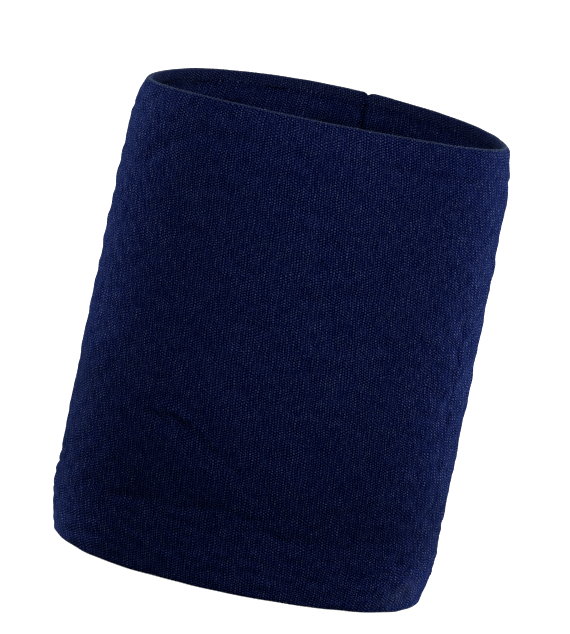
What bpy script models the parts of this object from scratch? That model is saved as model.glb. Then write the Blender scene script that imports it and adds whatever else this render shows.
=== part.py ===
"""Sweat wristband, standing on its lower rim.

Metres, +Z up, front towards -Y, origin under the middle of the lower rim.

The band is cut and sewn. Two knitted cloths, the outer shell and the lining, are each rolled
into a tube, with their side edges turned in and closed by a seam at the back. Both cloths are
turned in again at the two rims, where an overlock joins the turned edges. Elastic threads lie
between the cloths, and their ends reach the closing seam.

A place on the band is given by an angle round the oval, a height and a depth. The depth is
counted from the band's outer surface towards the wrist.
"""

import math

import bmesh
import bpy

# The band's outer shape
HEIGHT = 0.0750
HALF_WIDTH = 0.0300
HALF_DEPTH = 0.0213
BELLY = 0.0004  # how much fuller the lower third is
BELLY_HEIGHT = 0.30 * HEIGHT
SHOULDER_INSET = 0.0014  # how far each rim pulls in
SHOULDER_HEIGHT = 0.0100
TOP_DIP = 0.0016  # the upper rim dips this much at the left and right ends
LEFT_LIFT = 0.0006  # the lower rim lifts this much at its left end
RIGHT_LIFT = 0.0002  # and this much at its right end
LIFT_STARTS = 0.6  # share of the half width where that lift starts

# The cloths
PLY = 0.0005
WALL = 0.0027  # both cloths and what lies between them
HEM_GAP = 0.0002  # between a cloth and its own turned-in edge
FOLD_RADIUS = PLY + HEM_GAP / 2
TOP_HEM = 0.0047
BOTTOM_HEM = 0.0113
SIDE_HEM = 0.0041
LINING_DROP = 0.0014  # the lining's folds lie this far inside the shell's

# The closing seam at the back
SEAM_ANGLE = math.radians(78.3)
SEAM_SLIT = 0.0003
SIDE_HEM_FROM = 0.0126
SIDE_HEM_TO = 0.0690

# Threads
ELASTIC_COUNT = 15
ELASTIC_LOWEST = 0.0138
ELASTIC_PITCH = 0.0038
ELASTIC_RADIUS = 0.00035
THREAD_RADIUS = 0.00012
STITCH = 0.0027  # length of one stitch along the seam
CLEARANCE = 0.0003

# Mesh fineness
STEP_DEGREES = 10
FOLD_STEPS = 3
WALL_HEIGHTS = (0.0030, 0.0070, BOTTOM_HEM, SIDE_HEM_FROM, 0.0400, SIDE_HEM_TO, HEIGHT - TOP_HEM, 0.0722)

NAVY = (0.006, 0.010, 0.042)
DEEP_NAVY = (0.005, 0.008, 0.032)
THREAD_NAVY = (0.010, 0.014, 0.055)
RUBBER_NAVY = (0.012, 0.016, 0.050)


def clear_scene():
    for obj in list(bpy.data.objects):
        bpy.data.objects.remove(obj, do_unlink=True)


def material(name, color, roughness):
    made = bpy.data.materials.new(name)
    made.use_nodes = True
    shader = made.node_tree.nodes["Principled BSDF"]
    shader.inputs["Base Color"].default_value = (*color, 1.0)
    shader.inputs["Roughness"].default_value = roughness
    shader.inputs["Metallic"].default_value = 0.0
    return made


# Places on the band


def lower_rim(angle):
    past = max(0.0, abs(math.cos(angle)) - LIFT_STARTS) / (1 - LIFT_STARTS)
    lift = RIGHT_LIFT if math.cos(angle) > 0 else LEFT_LIFT
    return lift * past**2


def upper_rim(angle):
    return HEIGHT - TOP_DIP * (1 - abs(math.sin(angle)) ** 1.2)


def outset(height):
    """How far the outer surface stands outside the plain oval at this height."""
    to_rim = max(0.0, min(height, HEIGHT - height))
    shoulder = max(0.0, 1 - to_rim / SHOULDER_HEIGHT) ** 2
    belly = math.cos((height - BELLY_HEIGHT) / (HEIGHT - BELLY_HEIGHT) * math.pi / 2)
    return BELLY * belly - SHOULDER_INSET * shoulder


def place(angle, height, depth):
    """World position of the point at this angle, nominal height and depth."""
    grown = outset(height)
    across = HALF_WIDTH + grown
    along = HALF_DEPTH + grown
    normal_x = along * math.cos(angle)
    normal_y = across * math.sin(angle)
    length = math.hypot(normal_x, normal_y)
    x = across * math.cos(angle) - depth * normal_x / length
    y = along * math.sin(angle) - depth * normal_y / length
    low = lower_rim(angle)
    z = low + height / HEIGHT * (upper_rim(angle) - low)
    return (x, y, z)


def angle_past_seam(distance):
    """Angle of the point at this distance along the oval from the closing seam."""
    speed = math.hypot(HALF_WIDTH * math.sin(SEAM_ANGLE), HALF_DEPTH * math.cos(SEAM_ANGLE))
    return SEAM_ANGLE + distance / speed


def angles_round(margin):
    """Angles once round the band, from margin past the seam to margin before it."""
    start = angle_past_seam(margin)
    end = angle_past_seam(-margin) + 2 * math.pi
    first = math.ceil(math.degrees(start) / STEP_DEGREES)
    last = math.floor(math.degrees(end) / STEP_DEGREES)
    between = [math.radians(STEP_DEGREES * k) for k in range(first, last + 1)]
    return [start, *between, end]


# Cloth


def fold(radius):
    """(distance from the fold's tip, depth) pairs round a fold, from the turned edge to the face."""
    points = []
    for k in range(FOLD_STEPS + 1):
        turn = math.pi * (k / FOLD_STEPS - 0.5)
        middle = math.cos(math.pi / (2 * FOLD_STEPS))
        tip = FOLD_RADIUS - radius * math.cos(turn) / middle
        points.append((tip, FOLD_RADIUS - radius * math.sin(turn)))
    return points


def hem_path(radius, far_places):
    """Path of one cloth face from the raw edge, along the turned edge and round the fold."""
    turned = [(distance, FOLD_RADIUS + radius) for distance in far_places]
    return turned + fold(radius)


def rows_of(radius, drop):
    """(height, depth) rows up one cloth face, from the lower raw edge to the upper one."""
    low_edges = [h - drop for h in WALL_HEIGHTS if h <= BOTTOM_HEM]
    high_edges = [HEIGHT - h - drop for h in reversed(WALL_HEIGHTS) if h >= HEIGHT - TOP_HEM]
    low = [(distance + drop, depth) for distance, depth in hem_path(radius, reversed(low_edges))]
    high = [(HEIGHT - distance - drop, depth) for distance, depth in hem_path(radius, reversed(high_edges))]
    face = FOLD_RADIUS - radius
    return low + [(height, face) for height in WALL_HEIGHTS] + high[::-1]


def columns_of(radius):
    """(angle, depth) columns round one cloth face, from one side hem's raw edge to the other's."""
    half_slit = SEAM_SLIT / 2
    side = hem_path(radius, [SIDE_HEM])
    start = [(angle_past_seam(half_slit + distance), depth) for distance, depth in side]
    end = [(angle_past_seam(-half_slit - distance) + 2 * math.pi, depth) for distance, depth in side]
    middle = angles_round(half_slit + FOLD_RADIUS)[1:-1]
    face = FOLD_RADIUS - radius
    return start + [(angle, face) for angle in middle] + end[::-1]


def hem_row(rows, height):
    """Index of the row at this height on the cloth's wall."""
    return next(k for k, row in enumerate(rows) if row[0] == height)


def cloth(name, inside_out, drop, shader):
    """A cloth rolled into a tube, with a turned-in hem along each of its four edges.

    The side hems are trimmed away inside the rim hems, where the cloth runs flat to the slit.
    """
    bm = bmesh.new()
    layers = []
    for radius in (FOLD_RADIUS, HEM_GAP / 2):
        rows = rows_of(radius, drop)
        columns = columns_of(radius)
        first_row = hem_row(rows, SIDE_HEM_FROM)
        last_row = hem_row(rows, SIDE_HEM_TO)
        face_depth = FOLD_RADIUS - radius
        layer = []
        for angle, column_depth in columns:
            line = []
            for j, (height, row_depth) in enumerate(rows):
                folded_here = first_row <= j <= last_row and column_depth != face_depth
                depth = column_depth if folded_here else row_depth
                depth = WALL - depth if inside_out else depth
                line.append(bm.verts.new(place(angle, height, depth)))
            layer.append(line)
        layers.append(layer)

    last_column = len(columns) - 1

    def has_cloth(i, j):
        if not (0 <= i < last_column and 0 <= j < len(rows) - 1):
            return False
        turned_in = min(i, last_column - 1 - i) < FOLD_STEPS
        return not turned_in or first_row <= j < last_row

    for i in range(last_column):
        for j in range(len(rows) - 1):
            if not has_cloth(i, j):
                continue
            corners = ((i, j), (i + 1, j), (i + 1, j + 1), (i, j + 1))
            beyond = ((i, j - 1), (i + 1, j), (i, j + 1), (i - 1, j))
            for layer in layers:
                bm.faces.new([layer[a][b] for a, b in corners])
            for k, neighbour in enumerate(beyond):
                if not has_cloth(*neighbour):
                    (a, b), (c, d) = corners[k], corners[(k + 1) % 4]
                    bm.faces.new((layers[0][a][b], layers[0][c][d], layers[1][c][d], layers[1][a][b]))
    unused = [vert for vert in bm.verts if not vert.link_faces]
    bmesh.ops.delete(bm, geom=unused, context="VERTS")
    bmesh.ops.recalc_face_normals(bm, faces=bm.faces)

    mesh = bpy.data.meshes.new(name)
    bm.to_mesh(mesh)
    bm.free()
    mesh.shade_smooth()
    mesh.set_sharp_from_angle(angle=math.radians(50))
    mesh.materials.append(shader)
    obj = bpy.data.objects.new(name, mesh)
    bpy.context.scene.collection.objects.link(obj)
    return obj


# Threads


def thread(name, points, radius, closed, shader):
    """A round thread through the given points, as a curve with filled ends."""
    curve = bpy.data.curves.new(name, "CURVE")
    curve.dimensions = "3D"
    curve.bevel_depth = radius
    curve.bevel_resolution = 0
    curve.use_fill_caps = not closed
    spline = curve.splines.new("POLY")
    spline.points.add(len(points) - 1)
    for point, position in zip(spline.points, points):
        point.co = (*position, 1.0)
    spline.use_cyclic_u = closed
    curve.materials.append(shader)
    obj = bpy.data.objects.new(name, curve)
    bpy.context.scene.collection.objects.link(obj)
    return obj


def rim_seam(name, height, shader):
    """The overlock's edge chain, which zigzags past the raw edges of both turned hems."""
    perimeter = 2 * math.pi * math.sqrt((HALF_WIDTH**2 + HALF_DEPTH**2) / 2)
    count = 2 * round(perimeter / STITCH)
    points = []
    for k in range(count):
        swing = THREAD_RADIUS * 2 * (-1) ** k
        points.append(place(2 * math.pi * k / count, height, WALL / 2 + swing))
    return thread(name, points, THREAD_RADIUS, True, shader)


def closing_seam(name, depth, shader):
    """Stitches that run up the slit between the two folded edges of one cloth."""
    count = 2 * round((SIDE_HEM_TO - SIDE_HEM_FROM) / STITCH)
    points = []
    for k in range(count + 1):
        height = SIDE_HEM_FROM + (SIDE_HEM_TO - SIDE_HEM_FROM) * k / count
        angle = angle_past_seam(THREAD_RADIUS * 0.7 * (-1) ** k)
        points.append(place(angle, height, depth))
    return thread(name, points, THREAD_RADIUS, False, shader)


def elastic(number, shader):
    """An elastic thread once round the band, cut off where the closing seam catches it."""
    height = ELASTIC_LOWEST + ELASTIC_PITCH * (number - 1)
    margin = SEAM_SLIT / 2 + SIDE_HEM + CLEARANCE
    points = [place(angle, height, WALL / 2) for angle in angles_round(margin)]
    return thread(f"elastic_thread_{number:02d}", points, ELASTIC_RADIUS, False, shader)


def build():
    clear_scene()
    shell_cloth = material("shell_knit", NAVY, 0.95)
    lining_cloth = material("lining_knit", DEEP_NAVY, 0.95)
    sewing = material("sewing_thread", THREAD_NAVY, 0.70)
    rubber = material("covered_elastic", RUBBER_NAVY, 0.80)

    cloth("outer_shell", False, 0.0, shell_cloth)
    cloth("lining", True, LINING_DROP, lining_cloth)

    edge_gap = CLEARANCE + THREAD_RADIUS
    rim_seam("lower_rim_seam_thread", BOTTOM_HEM + edge_gap, sewing)
    rim_seam("upper_rim_seam_thread", HEIGHT - TOP_HEM - edge_gap, sewing)

    fold_back = 2 * FOLD_RADIUS
    closing_seam("shell_closing_seam_thread", fold_back, sewing)
    closing_seam("lining_closing_seam_thread", WALL - fold_back, sewing)

    for number in range(1, ELASTIC_COUNT + 1):
        elastic(number, rubber)


build()
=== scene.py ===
"""Looks of the sweat wristband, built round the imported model.

Lengths are in metres. The two cloths are made again as fine meshes: each is one closed
section, which runs up the visible face, round both folded rims and back down behind it.
A point of a cloth has an angle round the oval, a height and a depth from the outer surface.
Relief is added along the face's own normal: wales, elastic ridges, turned-in strips,
creases and the closing seam.
"""

import math
from collections import namedtuple

import bpy
import numpy as np
from mathutils import Matrix, Vector


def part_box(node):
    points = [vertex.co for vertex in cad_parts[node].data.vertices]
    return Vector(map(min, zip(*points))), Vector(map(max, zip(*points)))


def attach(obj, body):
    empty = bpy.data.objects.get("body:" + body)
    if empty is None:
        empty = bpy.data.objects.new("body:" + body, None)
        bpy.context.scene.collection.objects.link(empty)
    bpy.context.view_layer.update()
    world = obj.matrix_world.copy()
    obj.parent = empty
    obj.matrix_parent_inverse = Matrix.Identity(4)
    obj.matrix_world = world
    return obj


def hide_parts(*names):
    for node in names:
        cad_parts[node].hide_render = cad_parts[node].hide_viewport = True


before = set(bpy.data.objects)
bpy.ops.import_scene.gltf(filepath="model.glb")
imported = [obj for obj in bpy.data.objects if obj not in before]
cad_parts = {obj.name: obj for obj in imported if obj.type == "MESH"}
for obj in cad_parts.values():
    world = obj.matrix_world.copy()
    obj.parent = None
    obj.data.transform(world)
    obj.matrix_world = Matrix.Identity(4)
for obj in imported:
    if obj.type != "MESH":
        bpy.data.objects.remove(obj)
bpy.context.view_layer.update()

MM = 0.001

# Sizes read from the frame
_, SHELL_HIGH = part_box("outer_shell")
LINING_LOW, LINING_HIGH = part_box("lining")
HEIGHT = SHELL_HIGH.z
LINING_DROP = LINING_LOW.z

# The band's form, as in the CAD model
BELLY = 0.4 * MM
BELLY_HEIGHT = 0.30 * HEIGHT
HALF_WIDTH = SHELL_HIGH.x - BELLY
HALF_DEPTH = SHELL_HIGH.y - BELLY
SHOULDER_INSET = 1.4 * MM
SHOULDER_HEIGHT = 10 * MM
DIP_POWER = 1.2
LEFT_DIP = 1.6 * MM
RIGHT_DIP = 1.3 * MM
LEFT_LIFT = 0.6 * MM
RIGHT_LIFT = 0.2 * MM
LIFT_STARTS = 0.6
PLY = 0.5 * MM
FOLD_RADIUS = 0.6 * MM
FOLD_STEPS = 8
LOWER_FOLD_POWER = 0.75
SHELL_RISE = 0.35 * MM
LINING_RISE = 0.12 * MM
LINING_LEAN = 0.8
WALL = SHELL_HIGH.x - LINING_HIGH.x + 2 * FOLD_RADIUS
TOP_HEM = 4.7 * MM
BOTTOM_HEM = 11.3 * MM
SIDE_HEM = 4.1 * MM
SEAM_ANGLE = math.radians(78.3)
FRONT_ANGLE = 1.5 * math.pi
ELASTIC_LOWEST = 13.8 * MM
ELASTIC_PITCH = 3.8 * MM

# The knit, with two columns of mesh to a wale. Extra ones beside the seam are in column widths.
WALES = 248
COLUMNS = 2 * WALES
EXTRA_COLUMNS = (0.3, 0.65, 1.35, 1.7)
CURVE_POINTS = 7201
COURSE = 0.463 * MM
COURSE_IN_WALES = 0.7
WALE_RELIEF = 0.035 * MM
YARN_NOISE = 0.005 * MM

# The closing seam
STITCH = 2.7 * MM
SEAM_HALF_WIDTH = 0.34 * MM
SEAM_DEPTH = 0.90 * MM
SEAM_NOTCH = 0.40 * MM
SEAM_STRIP = 0.10 * MM
SEAM_STRIP_END = 1.2 * MM
PUCKER = 0.05 * MM
PUCKER_PLACE = 0.8 * MM
PUCKER_WIDTH = 1.3 * MM

# Relief of the faces: raised strips over the turned-in edges, and ridges over the elastic threads
SHELL_STRIP = 0.14 * MM
LINING_STRIP = 0.12 * MM
LOW_STRIP_END = 1.6 * MM
HIGH_STRIP_END = 1.4 * MM
ELASTIC_RIDGE = 0.030 * MM
RIDGE_FADE = 3 * MM
SHELL_SINK = 0.10 * MM

# The groove beside a strip: its place and width in strip ends, and its depth in strip heights
GROOVE_PLACE = 0.3
GROOVE_WIDTH = 0.45
GROOVE_DEPTH = 0.5

# How much more the shell crinkles over its lower turned-in edge, and where that fades out
SLACK = 2.8
SLACK_FADE = 6 * MM

# Sets of waves: their size, a seed, the fewest and most turns round the band, the fewest and most
# rises up it, and how many there are. The creases wander in millimetres.
SHELL_SWELL = (0.045 * MM, 1, (3, 13), (3, 9), 14)
SHELL_RIPPLE = (0.035 * MM, 2, (10, 34), (8, 22), 24)
LOW_EDGE_WAVES = (0.5 * MM, 3, (2, 9), (0, 1), 14)
HIGH_EDGE_WAVES = (0.25 * MM, 4, (2, 9), (0, 1), 14)
RIDGE_WAVES = (0.7, 5, (2, 8), (0, 3), 14)
SAG_WAVES = (0.5 * MM, 6, (2, 7), (0, 2), 14)
SHELL_CREPE = (0.016 * MM, 7, (6, 24), (20, 48), 32)
CREASE_WANDER = (0.22, 8, (20, 60), (10, 30), 24)
CREASE_WAVES = (0.4, 9, (12, 40), (6, 18), 16)
LINING_SWELL = (0.10 * MM, 11, (4, 16), (2, 8), 14)
LINING_RIPPLE = (0.05 * MM, 12, (12, 40), (4, 14), 24)
LINING_FLUTES = (0.20 * MM, 13, (9, 14), (0, 0.6), 6)
# The lining's painted shade is made uneven by the last set
LINING_SHADE_WAVES = (1.1, 14, (6, 18), (0, 5), 14)

# Painted shade on the cloths, as shares of black, and where each one lies
LOW_SHADE = 0.20
LOW_SHADE_STARTS = 2 * MM
LOW_SHADE_RISE = 12 * MM
LOW_SHADE_FALLS = 16 * MM
LOW_SHADE_FALL = 22 * MM
HEM_SHADE = 0.12
HEM_SHADE_HEIGHT = 1.15 * BOTTOM_HEM
HEM_SHADE_WIDTH = 5 * MM
SEAM_SHADE = 0.35
LINING_DEEP_SHADE = 0.45
LINING_DEEP_STARTS = 3 * MM
LINING_DEEP_FADE = 5 * MM
LINING_FOLD_SHADE = 0.45
LINING_FOLD_SHADE_WIDTH = 0.9 * MM
DARKEST = 0.85

# Painted shadow beside a fold on the left of the shell and a painted highlight on its lower right
# corner: strength, middle and size (along the cloth, up it) and slope
FOLD_SHADOW = (0.20, (-34 * MM, 27 * MM), (9 * MM, 6 * MM), 0.0)
CORNER_HIGHLIGHT = (0.22, (30 * MM, 3.6 * MM), (4 * MM, 1.6 * MM), 0.35)

# Painted light on the hidden strip of a turned-in upper edge, against a painted highlight of 1 on a
# fold's crest, and how narrow that crest is
TURNED_IN_PAINTED_LIGHT = 0.09
CREST_POWER = 5

# The form of a crease: its ends as shares of its length and depth, the least that the waves leave
# of it, its sides and swell in crease widths, and the swell's height as a share of its depth
CREASE_END = 0.2
END_DEPTH = 0.15
LEAST_CREASE = 0.1
STEEP_SIDE = 0.6
GENTLE_SIDE = 1.6
SWELL_PLACE = 1.9
SWELL_WIDTH = 1.3
SWELL_HEIGHT = 0.4

# Creases of the shell, in millimetres: a path of (distance along the cloth from the front middle,
# height), a width and a depth
CREASES = (
    (((-19.8, 25.6), (-14.8, 25.0), (-9.8, 24.2)), 0.75, 0.50),
    (((-10.5, 24.2), (-8.0, 22.6), (-5.5, 21.2), (-1.2, 18.7)), 0.8, 0.17),
    (((-24.0, 12.4), (-20.0, 11.7), (-14.0, 12.2)), 0.7, 0.15),
    (((-12.0, 14.2), (-7.0, 13.4), (-1.0, 12.4), (3.0, 11.4)), 0.8, 0.13),
    (((0.5, 10.3), (7.0, 10.5), (14.0, 10.8), (20.0, 11.8)), 0.8, 0.30),
    (((-30.0, 62.5), (-26.0, 66.0), (-22.6, 67.9), (-17.9, 69.5), (-6.0, 70.1)), 0.7, 0.13),
    (((-5.0, 69.9), (0.0, 67.6), (4.2, 65.1)), 0.9, 0.12),
    (((9.0, 69.4), (14.0, 69.8), (20.0, 69.8), (30.0, 69.5)), 0.7, 0.14),
    (((-18.5, 54.2), (-10.0, 53.6)), 0.7, 0.16),
    (((1.5, 48.0), (5.5, 48.4), (10.5, 50.6)), 0.7, 0.15),
    (((-6.0, 42.6), (1.0, 42.2)), 0.6, 0.14),
    (((11.0, 58.8), (11.3, 55.8)), 0.6, 0.14),
    (((-17.5, 37.0), (-17.2, 34.2)), 0.6, 0.14),
    (((30.7, 51.0), (30.8, 40.0), (31.2, 29.0)), 0.6, 0.12),
    (((31.2, 28.0), (33.0, 14.0)), 0.7, 0.10),
    (((-33.6, 58.0), (-33.6, 54.0)), 0.7, 0.16),
    (((-33.2, 44.5), (-33.4, 36.5)), 0.7, 0.20),
    (((-38.5, 15.8), (-32.0, 13.2)), 0.8, 0.24),
    (((25.5, 9.8), (29.5, 6.0)), 0.8, 0.12),
    (((25.5, 3.0), (31.5, 4.6)), 0.8, 0.12),
)


# Form


def lower_rim(angle):
    """Height of the lower rim, which lifts a little at the two ends of the oval."""
    past = np.maximum(0, np.abs(np.cos(angle)) - LIFT_STARTS) / (1 - LIFT_STARTS)
    return np.where(np.cos(angle) > 0, RIGHT_LIFT, LEFT_LIFT) * past**2


def upper_rim(angle):
    """Height of the upper rim, which dips towards the two ends of the oval."""
    dip = np.where(np.cos(angle) > 0, RIGHT_DIP, LEFT_DIP)
    return HEIGHT - dip * (1 - np.abs(np.sin(angle)) ** DIP_POWER)


def outset(height):
    """How far the outer surface stands outside the plain oval at this height."""
    to_rim = np.clip(np.minimum(height, HEIGHT - height), 0, None)
    shoulder = np.clip(1 - to_rim / SHOULDER_HEIGHT, 0, None) ** 2
    belly = np.cos((height - BELLY_HEIGHT) / (HEIGHT - BELLY_HEIGHT) * math.pi / 2)
    return BELLY * belly - SHOULDER_INSET * shoulder


def place(angle, height, depth):
    """World positions for arrays of angle, nominal height and depth."""
    grown = outset(height)
    across = HALF_WIDTH + grown
    along = HALF_DEPTH + grown
    normal_x = along * np.cos(angle)
    normal_y = across * np.sin(angle)
    length = np.hypot(normal_x, normal_y)
    x = across * np.cos(angle) - depth * normal_x / length
    y = along * np.sin(angle) - depth * normal_y / length
    low = lower_rim(angle)
    z = low + height / HEIGHT * (upper_rim(angle) - low)
    return np.stack([x, y, z], axis=-1)


def columns_round():
    """Distance past the closing seam and angle of each column, and of the finer curve behind them.

    Four extra columns stand on each side of the seam.
    """
    fine = SEAM_ANGLE + np.linspace(0, 2 * math.pi, CURVE_POINTS)
    x, y = HALF_WIDTH * np.cos(fine), HALF_DEPTH * np.sin(fine)
    run = np.concatenate([[0], np.cumsum(np.hypot(np.diff(x), np.diff(y)))])
    even = np.linspace(0, run[-1], COLUMNS, endpoint=False)
    extra = even[1] * np.array(EXTRA_COLUMNS)
    distance = np.sort(np.concatenate([even, extra, run[-1] - extra]))
    return distance, np.interp(distance, run, fine), run, fine


def section(drop, rise, lean):
    """Rows of a cloth's closed section, and how far along the section each one is.

    A row holds a height, a depth, an outward normal (up, in) and the share of the relief it takes.
    The rows start at the lower raw edge, run down the hidden side of the turned-in edge, round the
    lower fold, up the face, round the upper fold and down to the upper raw edge. They then come
    back behind the face. The drop is how far each rim stays inside the band's own rim, the rise is
    how far the upper fold rises above the face's edge, and the lean is how steeply it falls away
    behind the face.
    """
    rows = []

    def add(height, depth, normal, face):
        rows.append((height, depth, *normal, face))

    low, high = drop + FOLD_RADIUS, HEIGHT - drop - rise
    for height in (BOTTOM_HEM, BOTTOM_HEM / 2, low + FOLD_RADIUS):
        add(height, 2 * FOLD_RADIUS, (0, 1), 0)
    for k in range(FOLD_STEPS + 1):
        turned = k / FOLD_STEPS
        turn = math.pi * (turned - 0.5)
        out, side = math.cos(turn), -math.sin(turn)
        height = low - FOLD_RADIUS * out**LOWER_FOLD_POWER
        add(height, FOLD_RADIUS * (1 + side), (-out, side), turned**2)
    count = round((high - low) / COURSE)
    for k in range(1, count):
        add(low + (high - low) * k / count, 0, (0, -1), 1)
    for k in range(FOLD_STEPS + 1):
        turned = k / FOLD_STEPS
        turn = math.pi * (turned - 0.5)
        out, side = math.cos(turn), math.sin(turn)
        depth = FOLD_RADIUS * (1 + side)
        add(high + rise * out - lean * depth, depth, (out, side), (1 - turned) ** 2)
    for height in (high - 2 * FOLD_RADIUS, HEIGHT - TOP_HEM):
        add(height, 2 * FOLD_RADIUS, (0, 1), 0)

    inner = FOLD_RADIUS - PLY
    back = FOLD_RADIUS + inner
    add(HEIGHT - TOP_HEM, back, (0, -1), 0)
    add(high - lean * back, back, (0, -1), 0)
    add(high + inner - lean * FOLD_RADIUS, FOLD_RADIUS, (-1, 0), 0)
    add(high - lean * PLY, PLY, (0, 1), 0)
    between_hems = (0.75 * HEIGHT, 0.5 * HEIGHT, 0.25 * HEIGHT)
    for height in (HEIGHT - TOP_HEM, *between_hems, BOTTOM_HEM, BOTTOM_HEM / 2):
        add(height, PLY, (0, 1), 0)
    add(low, PLY, (0, 1), 0)
    add(low - inner, FOLD_RADIUS, (1, 0), 0)
    add(low, back, (0, -1), 0)
    add(BOTTOM_HEM / 2, back, (0, -1), 0)
    add(BOTTOM_HEM, back, (0, -1), 0)
    rows = np.array(rows)
    run = np.hypot(np.diff(rows[:, 0]), np.diff(rows[:, 1]))
    return rows, np.concatenate([[0], np.cumsum(run)])


# Relief


# Where points of a cloth are: the angle round the oval, the distances along the cloth from the
# front middle and from the closing seam, and the height
Spots = namedtuple("Spots", "angle across from_seam height")


def smooth_step(x):
    """0 below 0, 1 above 1 and a smooth rise between them."""
    x = np.clip(x, 0, 1)
    return x * x * (3 - 2 * x)


def waves(angle, height, size, seed, turns, rises, count):
    """Smooth noise of about this size that closes round the band: cosines of drawn directions."""
    rng = np.random.default_rng(seed)
    total = np.zeros(np.broadcast(angle, height).shape)
    for _ in range(count):
        around = rng.integers(turns[0], turns[1] + 1) * rng.choice((-1, 1))
        upward = rng.uniform(*rises) * 2 * math.pi / HEIGHT
        total += np.cos(around * angle + upward * height + rng.uniform(0, 2 * math.pi))
    return size * (total / math.sqrt(count / 2))


def to_path(across, up, points):
    """Distance to a polyline, and the place of its nearest point.

    The distance is above zero on the polyline's left. The place runs from 0 at the start to 1 at
    the end.
    """
    best = np.full(across.shape, 1e9)
    along = np.zeros(across.shape)
    last = len(points) - 1
    for k in range(last):
        (x0, y0), (x1, y1) = points[k], points[k + 1]
        dx, dy = x1 - x0, y1 - y0
        t = np.clip(((across - x0) * dx + (up - y0) * dy) / (dx * dx + dy * dy), 0, 1)
        far = np.hypot(across - x0 - t * dx, up - y0 - t * dy)
        far = np.where(dx * (up - y0) < dy * (across - x0), -far, far)
        nearer = np.abs(far) < np.abs(best)
        best = np.where(nearer, far, best)
        along = np.where(nearer, (k + t) / last, along)
    return best, along


def creases(angle, across, height):
    """Creases of the shell.

    The cloth hangs over each one from its left side and rises gently on its right.
    """
    total = np.zeros(np.broadcast(across, height).shape)
    wander = waves(angle, height, *CREASE_WANDER)
    uneven = np.clip(1 + waves(angle, height, *CREASE_WAVES), LEAST_CREASE, None)
    across, height = np.broadcast_arrays(across / MM, height / MM)
    for points, width, depth in CREASES:
        far, along = to_path(across, height, points)
        far = far + wander
        inside = smooth_step(along / CREASE_END) * smooth_step((1 - along) / CREASE_END)
        fade = inside * (1 - END_DEPTH) + END_DEPTH
        reach = np.where(far > 0, STEEP_SIDE * width, GENTLE_SIDE * width)
        valley = np.exp(-((far / reach) ** 2))
        swell = np.exp(-(((far - SWELL_PLACE * width) / (SWELL_WIDTH * width)) ** 2))
        total += depth * MM * fade * uneven * (SWELL_HEIGHT * swell - valley)
    return total


def strip(height, edge, raised, soft):
    """A raised strip below the given height, with a shallow groove where it ends."""
    step = 1 - smooth_step((height - edge) / soft + 0.5)
    groove = np.exp(-(((height - edge - GROOVE_PLACE * soft) / (GROOVE_WIDTH * soft)) ** 2))
    return raised * step - GROOVE_DEPTH * raised * groove


def seam_groove(distance):
    """Share of the closing seam's full depth: a narrow groove where two folded edges meet."""
    return np.exp(-((np.abs(distance) / SEAM_HALF_WIDTH) ** 1.5))


def seam_relief(distance, height):
    """The turned-in edges raised beside the closing seam, with small puckers from its stitches."""
    far = np.abs(distance)
    turned = SEAM_STRIP * (1 - smooth_step((far - SIDE_HEM) / SEAM_STRIP_END + 0.5))
    beside = np.exp(-(((far - PUCKER_PLACE) / PUCKER_WIDTH) ** 2))
    puckers = PUCKER * np.cos(2 * math.pi * height / STITCH) * beside
    return turned + puckers


def elastic_ridges(angle, height, low_edge, high_edge):
    """Weak, uneven ridges over the elastic threads, between the two turned-in edges."""
    size = ELASTIC_RIDGE * (1 + waves(angle, height, *RIDGE_WAVES))
    above_low = smooth_step((height - low_edge) / RIDGE_FADE)
    below_high = smooth_step((HEIGHT - height - high_edge) / RIDGE_FADE)
    sag = waves(angle, height, *SAG_WAVES)
    ridges = np.cos(2 * math.pi * (height + sag - ELASTIC_LOWEST) / ELASTIC_PITCH)
    return size * ridges * (above_low * below_high)


def shell_relief(at):
    """The shell's waves and crinkles, elastic ridges, turned-in edges and creases."""
    low_edge = BOTTOM_HEM + waves(at.angle, 0.0, *LOW_EDGE_WAVES)
    high_edge = TOP_HEM + waves(at.angle, 0.0, *HIGH_EDGE_WAVES)
    total = elastic_ridges(at.angle, at.height, low_edge, high_edge) - SHELL_SINK
    total += strip(at.height, low_edge, SHELL_STRIP, LOW_STRIP_END)
    total += strip(HEIGHT - at.height, high_edge, SHELL_STRIP, HIGH_STRIP_END)
    total += waves(at.angle, at.height, *SHELL_SWELL)
    total += waves(at.angle, at.height, *SHELL_RIPPLE)
    slack = 1 + SLACK * (1 - smooth_step((at.height - BOTTOM_HEM) / SLACK_FADE))
    total += slack * waves(at.angle, at.height, *SHELL_CREPE)
    return total + creases(at.angle, at.across, at.height) + seam_relief(at.from_seam, at.height)


def lining_relief(at):
    """The lining's waves, soft flutes and turned-in edges."""
    total = waves(at.angle, at.height, *LINING_SWELL)
    total += waves(at.angle, at.height, *LINING_FLUTES)
    total += strip(at.height, BOTTOM_HEM, LINING_STRIP, LOW_STRIP_END)
    total += strip(HEIGHT - at.height, TOP_HEM, LINING_STRIP, HIGH_STRIP_END)
    total += waves(at.angle, at.height, *LINING_RIPPLE)
    return total + seam_relief(at.from_seam, at.height)


def soft_patch(across, height, strength, middle, size, slope):
    """A soft oval patch of this strength, which climbs by the slope across the band."""
    aside = across - middle[0]
    above = height - middle[1] - slope * aside
    return strength * np.exp(-((aside / size[0]) ** 2) - (above / size[1]) ** 2)


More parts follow.
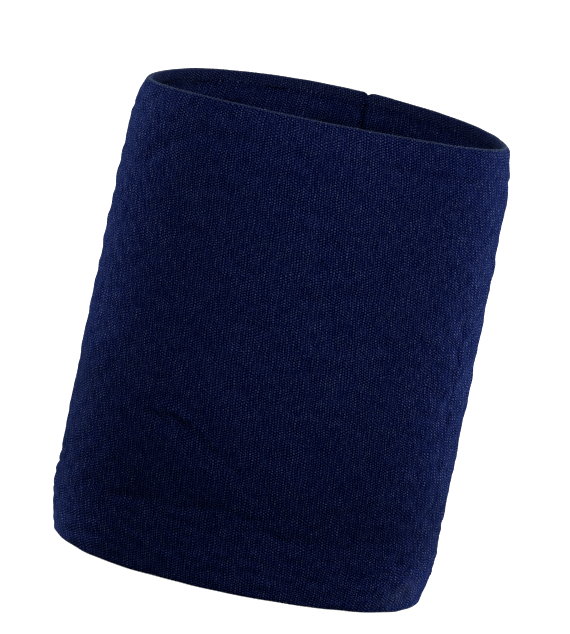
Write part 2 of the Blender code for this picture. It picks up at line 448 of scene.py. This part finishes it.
def shell_shade(at):
    """Painted shade on the shell, from 0 to 1, and below zero a painted highlight.

    Shade is painted along its lower part, above the turned-in edge and as a shadow beside a fold on
    the left. A highlight is painted on the lower right corner.
    """
    rise = smooth_step((at.height - LOW_SHADE_STARTS) / LOW_SHADE_RISE)
    fall = smooth_step((at.height - LOW_SHADE_FALLS) / LOW_SHADE_FALL)
    hem = np.exp(-(((at.height - HEM_SHADE_HEIGHT) / HEM_SHADE_WIDTH) ** 2))
    fold_shadow = soft_patch(at.across, at.height, *FOLD_SHADOW)
    corner_highlight = soft_patch(at.across, at.height, *CORNER_HIGHLIGHT)
    return LOW_SHADE * (rise - fall) + HEM_SHADE * hem + fold_shadow - corner_highlight


def lining_shade(at):
    """Painted shade on the lining, from 0 to 1: along its upper fold, and unevenly further down."""
    fold = np.exp(-(((at.height - HEIGHT + LINING_DROP) / LINING_FOLD_SHADE_WIDTH) ** 2))
    deep = smooth_step((HEIGHT - LINING_DEEP_STARTS - at.height) / LINING_DEEP_FADE)
    uneven = 1 + waves(at.angle, at.height, *LINING_SHADE_WAVES)
    return np.clip(LINING_DEEP_SHADE * deep * uneven + LINING_FOLD_SHADE * fold, 0, DARKEST)


# Above this, a row's normal looks away from the cloth's face
LOOKS_IN = 0.9


def closed_grid(name, points, inside_out):
    """A mesh of a grid of points that closes both ways, and the corners of each of its faces."""
    column_count, row_count, _ = points.shape
    index = np.arange(column_count * row_count).reshape(column_count, row_count)
    next_column = np.roll(index, -1, axis=0)
    next_row = np.roll(index, -1, axis=1)
    next_both = np.roll(next_column, -1, axis=1)
    quads = np.stack([index, next_column, next_both, next_row], -1).reshape(-1, 4)
    if not inside_out:
        quads = quads[:, ::-1]
    mesh = bpy.data.meshes.new(name)
    mesh.from_pydata(points.reshape(-1, 3).tolist(), [], quads.tolist())
    return mesh, quads


def count_stitches(mesh, quads, wale, path):
    """The UV map 'knit': wales counted round the band, and courses along the section."""
    columns, places = np.divmod(quads, len(path))
    wraps = columns.max(1, keepdims=True) - columns > len(wale) / 2
    u = wale[columns] + WALES * wraps
    v = path[places] / COURSE
    uv = mesh.uv_layers.new(name="knit")
    uv.data.foreach_set("uv", np.stack([u, v], -1).astype(np.float32).ravel())


def set_painted_light_and_shade(mesh, share):
    """The attribute of painted light and shade: above zero where light is painted, below zero where
    shade is.
    """
    painted_light_and_shade = mesh.attributes.new("painted_light_and_shade", "FLOAT", "POINT")
    painted_light_and_shade.data.foreach_set("value", share.astype(np.float32).ravel())


def cloth(name, node, fold, inside_out, relief, shade, crest_light, seed):
    """A cloth as one closed mesh, in the place of a node.

    The fold is the section's drop, rise and lean. Inside out, the face looks into the band. Crest
    light (the argument before the seed) is how strongly a highlight is painted on the crest of the
    upper fold, and below zero how much shade is painted there.
    """
    distance, angles, run, fine = columns_round()
    perimeter = run[-1]
    front = np.interp(FRONT_ANGLE, fine, run)
    rows, path = section(*fold)
    height, depth, normal_up, normal_in, face = rows.T[:, None]
    angle = angles[:, None]
    across = (distance - front)[:, None]
    from_seam = np.where(distance > perimeter / 2, distance - perimeter, distance)[:, None]
    wale = distance / perimeter * WALES
    at = Spots(angle, across, from_seam, height)

    raised = relief(at)
    raised -= WALE_RELIEF * np.cos(2 * math.pi * wale)[:, None]
    raised += YARN_NOISE * np.random.default_rng(seed).normal(size=raised.shape)
    raised *= face
    groove = seam_groove(from_seam)
    up = height + (raised - SEAM_NOTCH * groove * (face > 0)) * normal_up
    deep = depth + raised * normal_in
    deep += SEAM_DEPTH * groove * (1 - depth / (2 * FOLD_RADIUS))
    deep = WALL - deep if inside_out else deep
    points = place(angle, up, deep)
    points[..., 2] = np.maximum(points[..., 2], 0)
    mesh, quads = closed_grid(name, points, inside_out)
    count_stitches(mesh, quads, wale, path)

    upper = height > HEIGHT / 2
    # Painted highlight on the upper fold's crest, and painted light on the hidden turned-in strip
    crest = np.where(upper, np.maximum(normal_up, 0), 0) ** CREST_POWER * (face > 0)
    turned_in = upper & (normal_in > LOOKS_IN)
    painted_light = crest_light * (crest + TURNED_IN_PAINTED_LIGHT * turned_in)
    # The seam's groove gets painted shade
    set_painted_light_and_shade(mesh, painted_light - shade(at) - SEAM_SHADE * groove)
    mesh.shade_smooth()
    obj = bpy.data.objects.new(name, mesh)
    bpy.context.scene.collection.objects.link(obj)
    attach(obj, "root")
    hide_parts(node)
    return obj


# Materials


class Nodes:
    """Short calls for building a node tree."""

    def __init__(self, tree):
        self.tree = tree

    def add(self, kind, *values, **settings):
        node = self.tree.nodes.new(kind)
        for key, value in settings.items():
            setattr(node, key, value)
        for socket, value in zip(node.inputs, values):
            self.plug(socket, value)
        return node

    def plug(self, socket, value):
        if isinstance(value, bpy.types.NodeSocket):
            self.tree.links.new(value, socket)
        else:
            socket.default_value = value

    def math(self, operation, *values):
        return self.add("ShaderNodeMath", *values, operation=operation).outputs[0]

    def product(self, first, second):
        return self.math("MULTIPLY", first, second)

    def noise(self, vector, scale, detail=2.0, roughness=0.5):
        node = self.add("ShaderNodeTexNoise")
        self.plug(node.inputs["Vector"], vector)
        self.plug(node.inputs["Scale"], scale)
        self.plug(node.inputs["Detail"], detail)
        self.plug(node.inputs["Roughness"], roughness)
        return node.outputs["Fac"]

    def spread(self, value, low, high, to_low, to_high):
        """The value moved from one range to another, and held at its ends."""
        node = self.add("ShaderNodeMapRange")
        names = ("Value", "From Min", "From Max", "To Min", "To Max")
        for key, number in zip(names, (value, low, high, to_low, to_high)):
            self.plug(node.inputs[key], number)
        return node.outputs["Result"]

    def mix(self, share, first, second):
        node = self.add("ShaderNodeMix", data_type="RGBA")
        self.plug(node.inputs["Factor"], share)
        for key, value in (("A", first), ("B", second)):
            socket = next(s for s in node.inputs if s.name == key and s.type == "RGBA")
            self.plug(socket, value)
        return next(s for s in node.outputs if s.type == "RGBA")

    def bump(self, shader, height, strength, distance):
        node = self.add("ShaderNodeBump")
        node.inputs["Strength"].default_value = strength
        node.inputs["Distance"].default_value = distance
        self.plug(node.inputs["Height"], height)
        self.plug(shader.inputs["Normal"], node.outputs["Normal"])


def new_material(name, roughness=1.0):
    made = bpy.data.materials.new(name)
    made.use_nodes = True
    shader = made.node_tree.nodes["Principled BSDF"]
    shader.inputs["Roughness"].default_value = roughness
    return made, Nodes(made.node_tree), shader


# Colours of the knit: between the stitches, on them, and of the loose fibres that catch the light,
# which are partly their own pale colour and partly painted highlight
NAVY_SHADE = (0.0001, 0.0005, 0.0175)
NAVY_YARN = (0.0030, 0.0145, 0.1400)
FIBRE_AND_GLINT = (0.1700, 0.2180, 0.3700)
SHEEN_TINT = (0.33, 0.59, 0.83)
# The colour that painted shade darkens the knit towards
PAINTED_SHADE_BLACK = (0.0, 0.0, 0.0, 1.0)

# How much each part of the knit changes its tone, from lowest to highest
RIB_TONE = (0.77, 1.0)
LOOP_TONE = (0.65, 1.0)
STITCH_TONE = (0.55, 1.45)
LEG_TONE = (0.93, 1.07)
FLUFF_TONE = (0.40, 1.60)
PATCH_TONE = (0.98, 1.02)
# The last range is painted light over the fluff, where the attribute is above zero
PAINTED_LIGHT_TONE = (0.0, 0.42)

# Ranges that are stretched to fill a tone or a share: of a noise, and of the tone itself
NOISE_SPAN = (0.3, 0.7)
YARN_SPAN = (0.96, 2.78)

# Sway of the stitches: the noise's scale per metre, and the size in wales or courses
WALE_SWAY = (420.0, 0.5)
COURSE_SWAY = (560.0, 0.9)

# Uneven dye: the noise's scale per metre, detail and roughness
PATCH_NOISE = (160.0, 3.0, 0.6)

# Courses that a leg of a V stitch would climb across a whole wale
LEG_SLANT = 1.2

# How narrow the glints are (partly painted highlight), the fluff's height against a stitch, and the
# bump's depth
GLINT_POWER = 3.0
FLUFF_HEIGHT = 0.4
STITCH_BUMP = 0.16 * MM

# Threads: darkest and lightest colour, and twist in radians per metre
SEWING_LOOK = ((0.004, 0.006, 0.028), (0.02, 0.03, 0.12), 9000.0)
ELASTIC_LOOK = ((0.004, 0.006, 0.026), (0.022, 0.03, 0.10), 5000.0)


def tinted(color, tone):
    return (*(tone * channel for channel in color), 1.0)


# Waves of the fibre grain, in turns per wale and per course, their size, and the noise that
# their phases follow: its scale, its size in turns, and its step from one wave to the next
GRAIN_WAVES = ((1.72, 0.15), (0.74, 1.15), (-0.80, 1.12))
GRAIN_SIZE = 0.1
WANDER_SCALE = 0.3
WANDER_SIZE = 1.3
WANDER_STEP = 9.7


def grain(n, wales, courses):
    """Fine, even grain of the loose fibres, round about 0.5: crossed waves whose phases wander."""
    total = 0.5
    up = n.product(courses, COURSE_IN_WALES)
    for layer, (around, upward) in enumerate(GRAIN_WAVES):
        spot = n.add("ShaderNodeCombineXYZ", wales, up, WANDER_STEP * layer).outputs[0]
        wander = n.product(n.noise(spot, WANDER_SCALE, 0.0), WANDER_SIZE)
        turns = n.math("ADD", n.product(wales, around), n.product(courses, upward))
        wave = n.math("SINE", n.product(n.math("ADD", turns, wander), 2 * math.pi))
        total = n.math("ADD", total, n.product(wave, GRAIN_SIZE))
    return total


def uneven_count(n, count, spot, scale, size):
    """A count of wales or courses that sways by up to half the size either way."""
    return n.math("ADD", count, n.product(n.math("SUBTRACT", n.noise(spot, scale), 0.5), size))


def v_stitches(n, wales, courses):
    """Rows of V stitches, brightest on the loops, and a random value for each leg of a V."""
    from_middle = n.math("ABSOLUTE", n.math("SUBTRACT", n.math("FRACT", wales), 0.5))
    rib = n.spread(n.math("COSINE", n.product(from_middle, 2 * math.pi)), -1.0, 1.0, *RIB_TONE)
    slanted = n.math("SUBTRACT", courses, n.product(from_middle, LEG_SLANT))
    loop = n.math("ABSOLUTE", n.math("SINE", n.product(slanted, math.pi)))
    stitch = n.product(rib, n.spread(loop, 0.0, 1.0, *LOOP_TONE))
    leg = n.math("FLOOR", n.product(wales, 2.0))
    cell = n.add("ShaderNodeCombineXYZ", leg, n.math("FLOOR", slanted), 0.0).outputs[0]
    per_leg = n.add("ShaderNodeTexWhiteNoise", cell, noise_dimensions="2D").outputs["Value"]
    return stitch, per_leg


def yarn_share(n, stitch, per_leg, fluff, spot):
    """How much yarn shows against the dark between the stitches, from 0 to 1."""
    patch = n.noise(spot, *PATCH_NOISE)
    tone = n.spread(stitch, 0.0, 1.0, *STITCH_TONE)
    tone = n.product(tone, n.spread(per_leg, 0.0, 1.0, *LEG_TONE))
    tone = n.product(tone, n.spread(fluff, *NOISE_SPAN, *FLUFF_TONE))
    tone = n.product(tone, n.spread(patch, *NOISE_SPAN, *PATCH_TONE))
    return n.spread(tone, *YARN_SPAN, 0.0, 1.0)


def knit_color(n, share, fluff, painted_brightness):
    """Navy yarn under pale fibres, with painted light where the attribute is above zero and painted
    shade below.
    """
    # The colours are scaled up for painted light on the lining
    yarn = n.mix(share, tinted(NAVY_SHADE, painted_brightness), tinted(NAVY_YARN, painted_brightness))
    painted_light_and_shade = n.add("ShaderNodeAttribute", attribute_name="painted_light_and_shade").outputs["Fac"]
    # Painted light where the attribute is above zero
    painted_light = n.product(n.math("MAXIMUM", painted_light_and_shade, 0.0), n.spread(fluff, *NOISE_SPAN, *PAINTED_LIGHT_TONE))
    # Glints: partly pale fibre colour, partly painted highlight
    glint = n.math("ADD", n.math("POWER", share, GLINT_POWER), painted_light)
    color = n.mix(glint, yarn, tinted(FIBRE_AND_GLINT, painted_brightness))
    # Painted shade where the attribute is below zero
    painted_shade = n.math("MAXIMUM", n.product(painted_light_and_shade, -1.0), 0.0)
    return n.mix(painted_shade, color, PAINTED_SHADE_BLACK)


def knit_material(name, painted_brightness):
    """Jersey knit: V stitches counted by the 'knit' UV map, uneven yarn, a fuzzy surface and painted
    light and shade.
    """
    made, n, shader = new_material(name)
    uv = n.add("ShaderNodeUVMap", uv_map="knit").outputs["UV"]
    spot = n.add("ShaderNodeTexCoord").outputs["Object"]
    counts = n.add("ShaderNodeSeparateXYZ", uv)
    wales = uneven_count(n, counts.outputs[0], spot, *WALE_SWAY)
    courses = uneven_count(n, counts.outputs[1], spot, *COURSE_SWAY)
    stitch, per_leg = v_stitches(n, wales, courses)
    fluff = grain(n, wales, courses)
    share = yarn_share(n, stitch, per_leg, fluff, spot)
    n.plug(shader.inputs["Base Color"], knit_color(n, share, fluff, painted_brightness))
    surface = n.math("ADD", stitch, n.product(fluff, FLUFF_HEIGHT))
    n.bump(shader, surface, 1.0, STITCH_BUMP)
    shader.inputs["Specular IOR Level"].default_value = 0.0
    shader.inputs["Sheen Weight"].default_value = 0.08
    shader.inputs["Sheen Roughness"].default_value = 0.25
    shader.inputs["Sheen Tint"].default_value = (*SHEEN_TINT, 1.0)
    return made


def thread_material(name, dark, light, twists):
    """Twisted thread: fine slanted plies with uneven dye. The twists are in radians per metre."""
    made, n, shader = new_material(name, 0.75)
    spot = n.add("ShaderNodeTexCoord").outputs["Object"]
    split = n.add("ShaderNodeSeparateXYZ", spot)
    level = n.math("ADD", split.outputs[0], split.outputs[1])
    run = n.math("ADD", level, n.product(split.outputs[2], 0.7))
    ply = n.math("ABSOLUTE", n.math("SINE", n.product(run, twists)))
    fluff = n.noise(spot, 6000.0)
    share = n.product(n.spread(ply, 0.0, 1.0, 0.2, 1.0), n.spread(fluff, *NOISE_SPAN, 0.6, 1.2))
    n.plug(shader.inputs["Base Color"], n.mix(share, (*dark, 1.0), (*light, 1.0)))
    n.bump(shader, ply, 0.6, 0.05 * MM)
    shader.inputs["Sheen Weight"].default_value = 0.2
    return made


def repaint(obj, made):
    obj.data.materials.clear()
    obj.data.materials.append(made)


def dress(obj, made):
    repaint(obj, made)


def dress_nodes():
    """New materials for the CAD nodes that stay: the sewing threads and the elastic threads."""
    sewing = thread_material("sewing_thread_look", *SEWING_LOOK)
    elastic = thread_material("covered_elastic_look", *ELASTIC_LOOK)
    for name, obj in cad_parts.items():
        if name.endswith("seam_thread"):
            repaint(obj, sewing)
        elif name.startswith("elastic_thread"):
            repaint(obj, elastic)


# Stage


# The camera: how high the picture is at the band, how far away it stands, its angles and its aim
VIEW_HEIGHT = 98.587 * MM
VIEW_DISTANCE = 1399.5 * MM
VIEW_ELEVATION = math.radians(10.2)
VIEW_ROLL = math.radians(11.5)
AIM = Vector((-0.15 * MM, 0, 40.68 * MM))
SENSOR = 36.0

# The floor and the world
FLOOR_HALF_WIDTH = 20.0
FLOOR_GREY = 0.92
FLOOR_GLOW = 0.9
WORLD_GLOW = 0.12


def stage_camera():
    data = bpy.data.cameras.new("camera")
    data.sensor_width = SENSOR
    data.lens = SENSOR * VIEW_DISTANCE / VIEW_HEIGHT
    data.clip_start = 0.01
    data.clip_end = 50
    camera = bpy.data.objects.new("camera", data)
    back = Vector((0, -math.cos(VIEW_ELEVATION), math.sin(VIEW_ELEVATION)))
    look = (-back).to_track_quat("-Z", "Y").to_matrix().to_4x4()
    roll = Matrix.Rotation(VIEW_ROLL, 4, "Z")
    camera.matrix_world = Matrix.Translation(AIM + back * VIEW_DISTANCE) @ look @ roll
    bpy.context.scene.collection.objects.link(camera)
    bpy.context.scene.camera = camera


def soft_light(name, place_at, size, watts):
    data = bpy.data.lights.new(name, "AREA")
    data.shape = "RECTANGLE"
    data.size, data.size_y = size
    data.energy = watts
    light = bpy.data.objects.new(name, data)
    light.visible_camera = False
    place_at = Vector(place_at)
    look = (Vector((0, 0, HEIGHT / 2)) - place_at).to_track_quat("-Z", "Y").to_matrix().to_4x4()
    light.matrix_world = Matrix.Translation(place_at) @ look
    bpy.context.scene.collection.objects.link(light)


def stage_floor():
    """A pale paper floor that glows a little and throws no light on the band."""
    half = FLOOR_HALF_WIDTH
    corners = [(-half, -half, 0), (half, -half, 0), (half, half, 0), (-half, half, 0)]
    mesh = bpy.data.meshes.new("floor")
    mesh.from_pydata(corners, [], [(0, 1, 2, 3)])
    floor = bpy.data.objects.new("floor", mesh)
    made, _, shader = new_material("floor_paper")
    shader.inputs["Base Color"].default_value = (FLOOR_GREY, FLOOR_GREY, FLOOR_GREY, 1)
    shader.inputs["Specular IOR Level"].default_value = 0.0
    shader.inputs["Emission Color"].default_value = (1, 1, 1, 1)
    shader.inputs["Emission Strength"].default_value = FLOOR_GLOW
    mesh.materials.append(made)
    bpy.context.scene.collection.objects.link(floor)
    floor.visible_diffuse = False


def stage_world():
    world = bpy.data.worlds.new("studio")
    bpy.context.scene.world = world
    world.use_nodes = True
    background = world.node_tree.nodes["Background"]
    background.inputs["Color"].default_value = (1, 1, 1, 1)
    background.inputs["Strength"].default_value = WORLD_GLOW


# Soft boxes: name, place, width and height, watts. All face the middle of the band.
LIGHTS = (
    ("back_right", (0.50, 0.35, 0.08), (0.30, 0.12), 9.0),
    ("back_left", (-0.50, 0.35, 0.08), (0.30, 0.12), 7.7),
    ("near_top", (0.0, -0.12, 0.17), (0.12, 0.12), 0.14),
    ("side_right", (0.45, -0.20, 0.10), (0.30, 0.30), 1.40),
    ("side_left", (-0.45, -0.20, 0.15), (0.30, 0.30), 0.55),
)


def stage():
    stage_floor()
    stage_world()
    for light in LIGHTS:
        soft_light(*light)
    stage_camera()
    bpy.context.scene.view_settings.view_transform = "Standard"


def make_shell():
    return cloth(
        "shell_cloth",
        "outer_shell",
        fold=(0.0, SHELL_RISE, 0.0),
        inside_out=False,
        relief=shell_relief,
        shade=shell_shade,
        crest_light=1.0,
        seed=21,
    )


def make_lining():
    return cloth(
        "lining_cloth",
        "lining",
        fold=(LINING_DROP, LINING_RISE, LINING_LEAN),
        inside_out=True,
        relief=lining_relief,
        shade=lining_shade,
        # Below zero, shade is painted on the crest of the lining's upper fold
        crest_light=-0.9,
        seed=22,
    )


def build():
    stage()
    shell = make_shell()
    lining = make_lining()
    dress(shell, knit_material("shell_knit_look", 1.0))
    # The lining's knit is a brighter copy, painted light for the inside of the band
    dress(lining, knit_material("lining_knit_look", 1.3))
    dress_nodes()


build()
